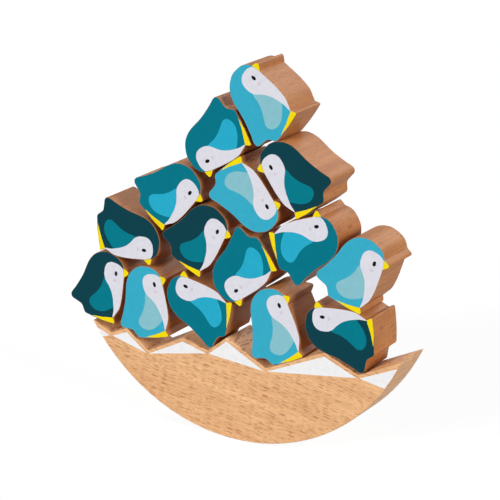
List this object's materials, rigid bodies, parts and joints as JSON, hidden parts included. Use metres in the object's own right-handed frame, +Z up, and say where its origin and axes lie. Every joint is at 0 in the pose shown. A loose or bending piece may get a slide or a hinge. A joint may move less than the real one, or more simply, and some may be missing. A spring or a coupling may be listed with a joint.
{
  "type": "stacking balance game",
  "caption": "Wooden balance game: a rocker with a round bottom and a saw edge, with printed penguins in sky, teal and navy blue stacked on it.",
  "frame": {"origin": "on the floor under the middle of the whole game, halfway through the board's thickness", "axes": "+Z up, +X along the rocker to the right of someone who faces its front, +Y through the board from the front face to the back face"},
  "size_m": [0.2626, 0.0322, 0.2658],
  "materials": {
    "beech": "bare beech, sanded smooth and clear lacquered, with printed white fields",
    "sky_print": "beech board printed in sky blue on both faces, bare round the edge",
    "teal_print": "beech board printed in teal on both faces, bare round the edge",
    "navy_print": "beech board printed in navy on both faces, bare round the edge"
  },
  "bodies": {
    "root": {"rocker": "beech", "sky_penguin_1": "sky_print", "navy_penguin_1": "navy_print", "teal_penguin_1": "teal_print", "sky_penguin_2": "sky_print", "navy_penguin_2": "navy_print", "navy_penguin_3": "navy_print", "teal_penguin_2": "teal_print", "navy_penguin_4": "navy_print", "sky_penguin_3": "sky_print", "teal_penguin_3": "teal_print", "teal_penguin_4": "teal_print", "sky_penguin_4": "sky_print", "navy_penguin_5": "navy_print", "teal_penguin_5": "teal_print", "sky_penguin_5": "sky_print"}
  },
  "joints": []
}
